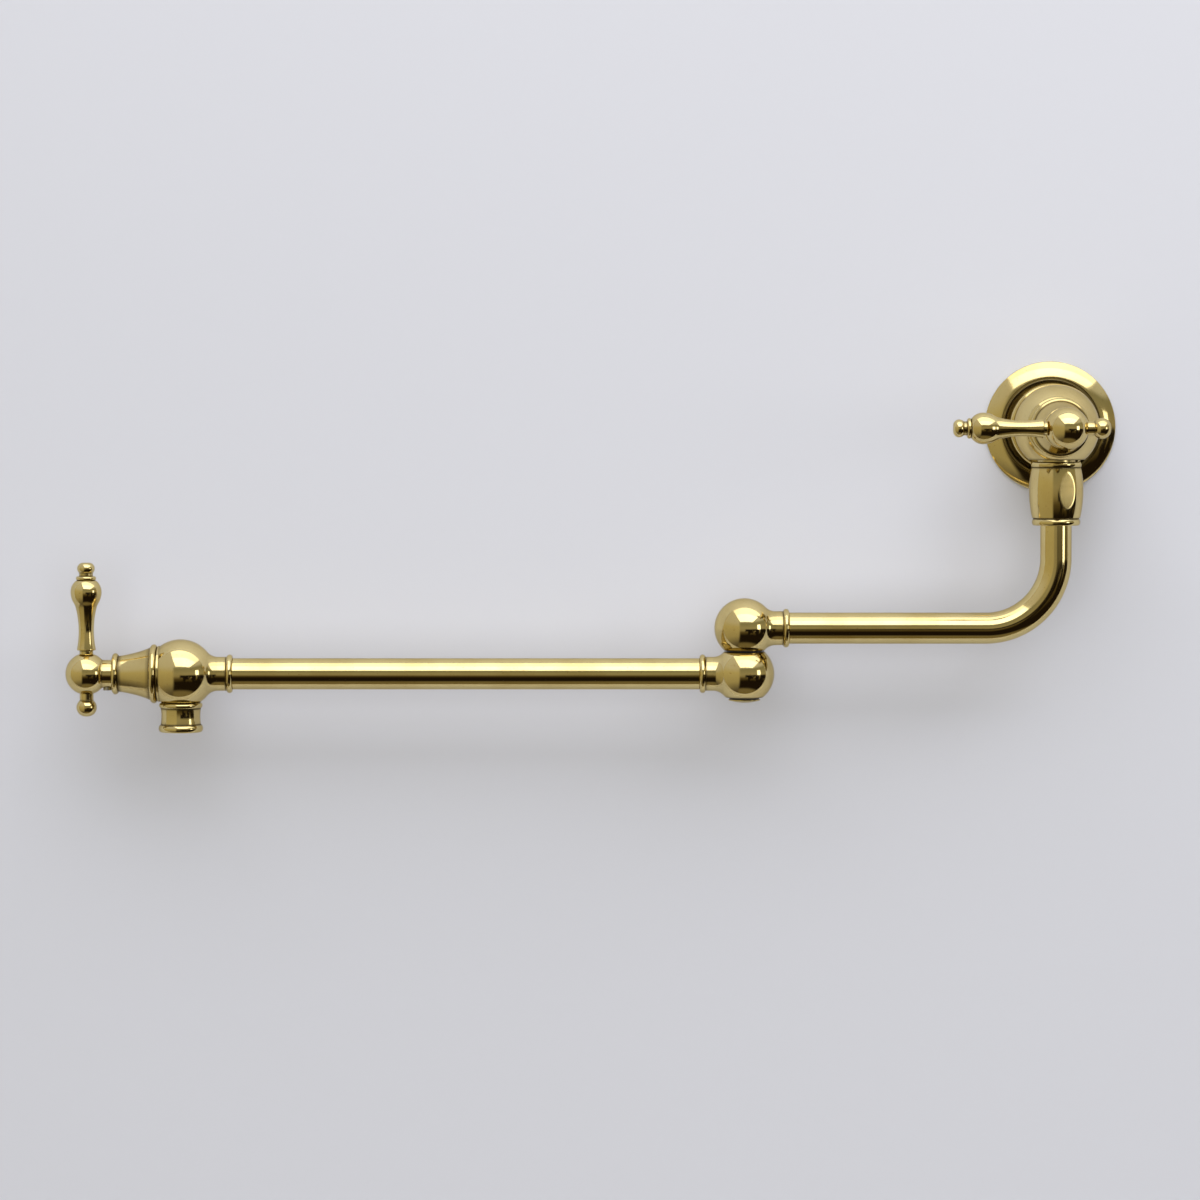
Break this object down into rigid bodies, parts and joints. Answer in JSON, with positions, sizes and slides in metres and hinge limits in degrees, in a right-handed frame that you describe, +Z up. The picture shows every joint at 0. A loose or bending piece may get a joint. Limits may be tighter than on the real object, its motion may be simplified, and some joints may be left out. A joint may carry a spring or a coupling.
{
  "type": "wall mounted pot filler",
  "caption": "Wall mounted pot filler of polished brass with a swivelling elbow tube, a jointed outer arm, and a ball shaped lever valve at the wall and at the outlet.",
  "frame": {"origin": "centre of the threaded inlet's mouth, in the plane of the wall", "axes": "+Z up; +Y into the wall, along the inlet; at rest the arms reach to -X along the wall"},
  "size_m": [0.6076, 0.1113, 0.2132],
  "materials": {
    "polished_brass": "polished, unlacquered",
    "inner_brass": "machined, inside the fitting",
    "steel": "stainless clips, screws and screen",
    "rubber": "black sealing rubber",
    "foam": "closed cell gasket foam",
    "washer_plastic": "black bearing plastic",
    "ceramic": "ground white ceramic",
    "plate_plastic": "grey moulded plastic"
  },
  "bodies": {
    "wall_side": {"wall_flange": "polished_brass", "flange_gasket": "foam", "flange_o_ring": "rubber", "wall_valve_body": "polished_brass", "swivel_sleeve": "polished_brass", "swivel_washer": "washer_plastic", "swivel_bush": "washer_plastic", "wall_cartridge": "inner_brass", "wall_seat_seal": "rubber", "wall_fixed_disc": "ceramic", "wall_bonnet": "polished_brass"},
    "wall_handle": {"wall_stem": "inner_brass", "wall_moving_disc": "ceramic", "wall_stem_o_rings": "rubber", "wall_stem_clip": "steel", "wall_hub": "polished_brass", "wall_lever": "polished_brass", "wall_counterball": "polished_brass", "wall_set_screw": "steel"},
    "inner_arm": {"swivel_nipple": "inner_brass", "swivel_o_rings": "rubber", "elbow_tube": "polished_brass", "upper_joint_ball": "polished_brass", "joint_spindle": "inner_brass", "spindle_o_rings": "rubber", "joint_washer": "washer_plastic", "cap_washer": "washer_plastic", "joint_cap": "polished_brass"},
    "outer_arm": {"lower_joint_ball": "polished_brass", "arm_tube": "polished_brass", "spout_valve_body": "polished_brass", "spout_nozzle": "polished_brass", "nozzle_washer": "rubber", "aerator_housing": "inner_brass", "flow_plate": "plate_plastic", "aerator_screen": "steel", "spout_cartridge": "inner_brass", "spout_seat_seal": "rubber", "spout_fixed_disc": "ceramic", "spout_bonnet": "polished_brass"},
    "spout_handle": {"spout_stem": "inner_brass", "spout_moving_disc": "ceramic", "spout_stem_o_rings": "rubber", "spout_stem_clip": "steel", "spout_hub": "polished_brass", "spout_lever": "polished_brass", "spout_counterball": "polished_brass", "spout_set_screw": "steel"}
  },
  "joints": [
    {"name": "wall_swivel", "type": "hinge", "parent": "wall_side", "child": "inner_arm", "pos_m": [0, -0.038, -0.05], "axis": [0, 0, 1], "range_deg": [0, 180]},
    {"name": "elbow_swivel", "type": "hinge", "parent": "inner_arm", "child": "outer_arm", "pos_m": [-0.179, -0.038, -0.1417], "axis": [0, 0, 1], "continuous": true},
    {"name": "wall_handle_turn", "type": "hinge", "parent": "wall_side", "child": "wall_handle", "pos_m": [0, -0.08, 0], "axis": [0, 1, 0], "range_deg": [0, 90]},
    {"name": "spout_handle_turn", "type": "hinge", "parent": "outer_arm", "child": "spout_handle", "pos_m": [-0.5433, -0.038, -0.1417], "axis": [1, 0, 0], "range_deg": [0, 90]}
  ]
}
